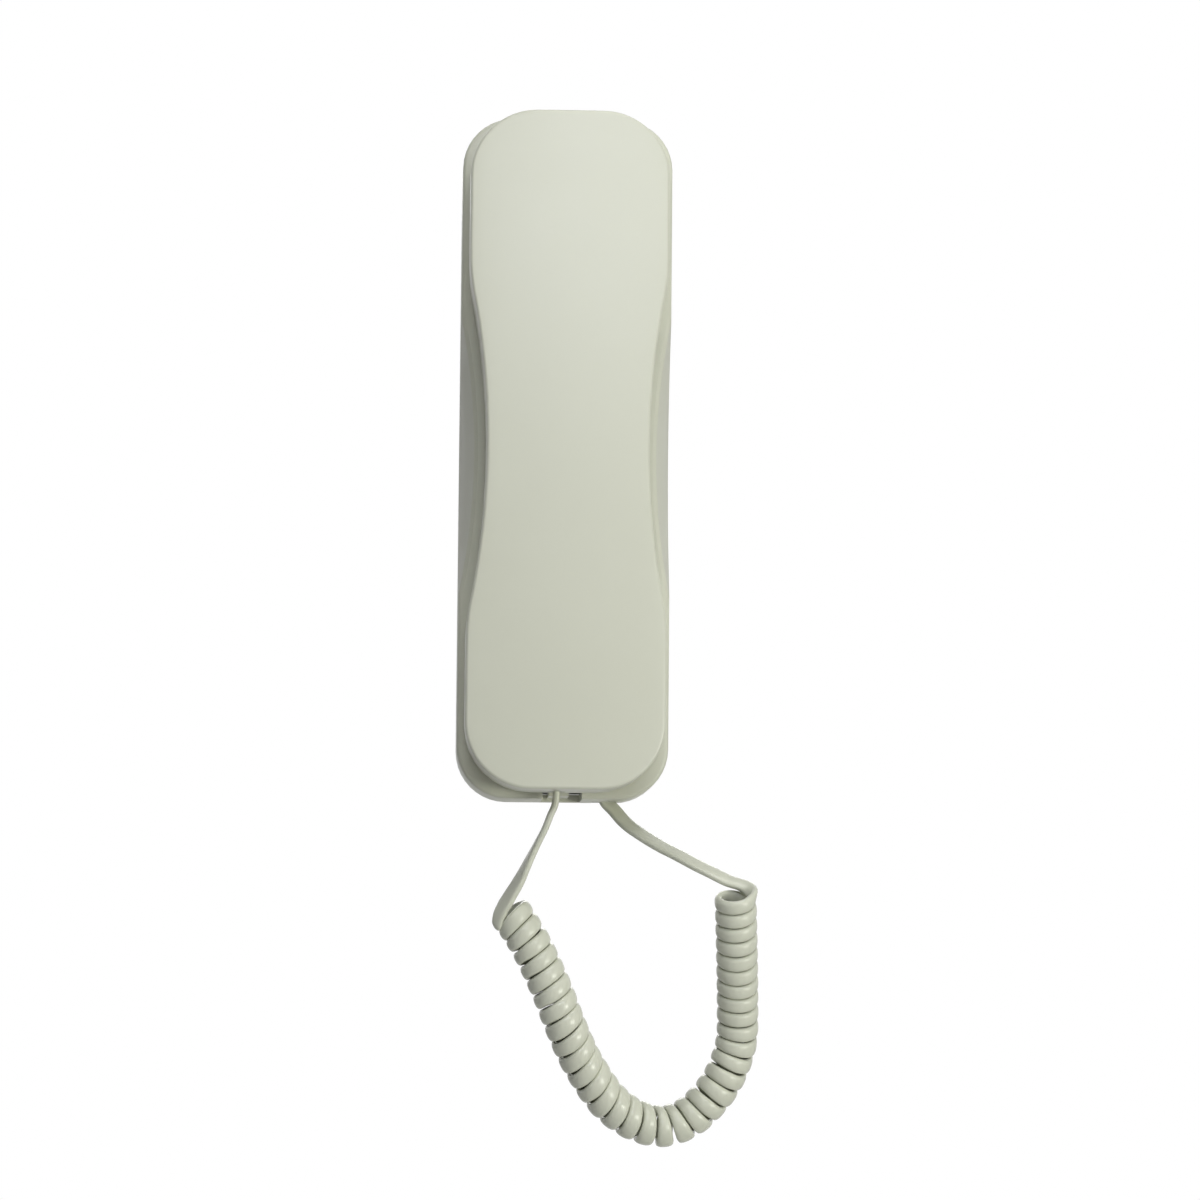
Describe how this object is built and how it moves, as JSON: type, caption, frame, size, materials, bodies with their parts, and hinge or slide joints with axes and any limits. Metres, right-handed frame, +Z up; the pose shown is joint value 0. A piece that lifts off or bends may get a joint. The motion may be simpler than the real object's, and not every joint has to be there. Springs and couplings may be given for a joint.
{
  "type": "audio intercom handset",
  "caption": "Slim wall-hung audio intercom: waisted handset that hangs on a plain wall base with finger scoops, joined to it by a hanging curly cord.",
  "frame": {"origin": "midway between the two wall screw holes, on the wall face", "axes": "+Z up, +X to the right seen from the front, +Y into the wall, so the front faces -Y"},
  "size_m": [0.0901, 0.049, 0.3049],
  "materials": {
    "case": "moulded ivory, satin",
    "plate": "moulded ivory, matte",
    "cord": "soft ivory jacket, semi-gloss",
    "grommet": "grey rubber",
    "board": "green solder mask",
    "steel": "zinc-plated steel",
    "terminal": "dark green moulding",
    "white_part": "off-white moulding",
    "black_part": "black moulding",
    "red_part": "red moulding",
    "button": "grey moulding",
    "foam": "black rubber",
    "film": "thin translucent film",
    "magnet": "sintered magnet",
    "wire_red": "red insulation",
    "wire_blue": "blue insulation"
  },
  "bodies": {
    "base": {"base_housing": "case", "wall_plate": "plate", "base_grommet": "grommet", "circuit_board": "board", "board_screws": "steel", "terminal_block": "terminal", "terminal_screws": "steel", "cord_connector": "white_part", "board_tail": "cord", "hook_switch": "black_part", "hook_spring": "steel", "release_switch": "black_part", "call_sounder": "black_part", "base_lead": "cord", "curly_cord": "cord"},
    "handset": {"handset_outer_shell": "case", "handset_inner_shell": "case", "handset_screws": "steel", "receiver_gasket": "foam", "receiver_basket": "steel", "receiver_diaphragm": "film", "receiver_magnet": "magnet", "microphone_boot": "foam", "microphone": "steel", "handset_grommet": "grommet", "receiver_wires": "wire_red", "microphone_wires": "wire_blue", "handset_lead": "cord"},
    "hook_plunger_body": {"hook_plunger": "case"},
    "release_button_body": {"release_button": "button", "release_actuator": "red_part"}
  },
  "joints": [
    {"name": "handset_lift", "type": "slide", "parent": "base", "child": "handset", "axis": [0, -0.866, 0.5], "range_m": [0, 0.08]},
    {"name": "hook_plunger_slide", "type": "slide", "parent": "base", "child": "hook_plunger_body", "axis": [0, -1, 0], "range_m": [0, 0.004], "deforming": ["hook_spring"]},
    {"name": "release_button_press", "type": "slide", "parent": "base", "child": "release_button_body", "axis": [0, 1, 0], "range_m": [0, 0.001], "stiffness_N_per_m": 400}
  ],
  "couplings": [
    {"joint": "hook_plunger_slide", "follows": "handset_lift", "ratio": 0.05}
  ]
}
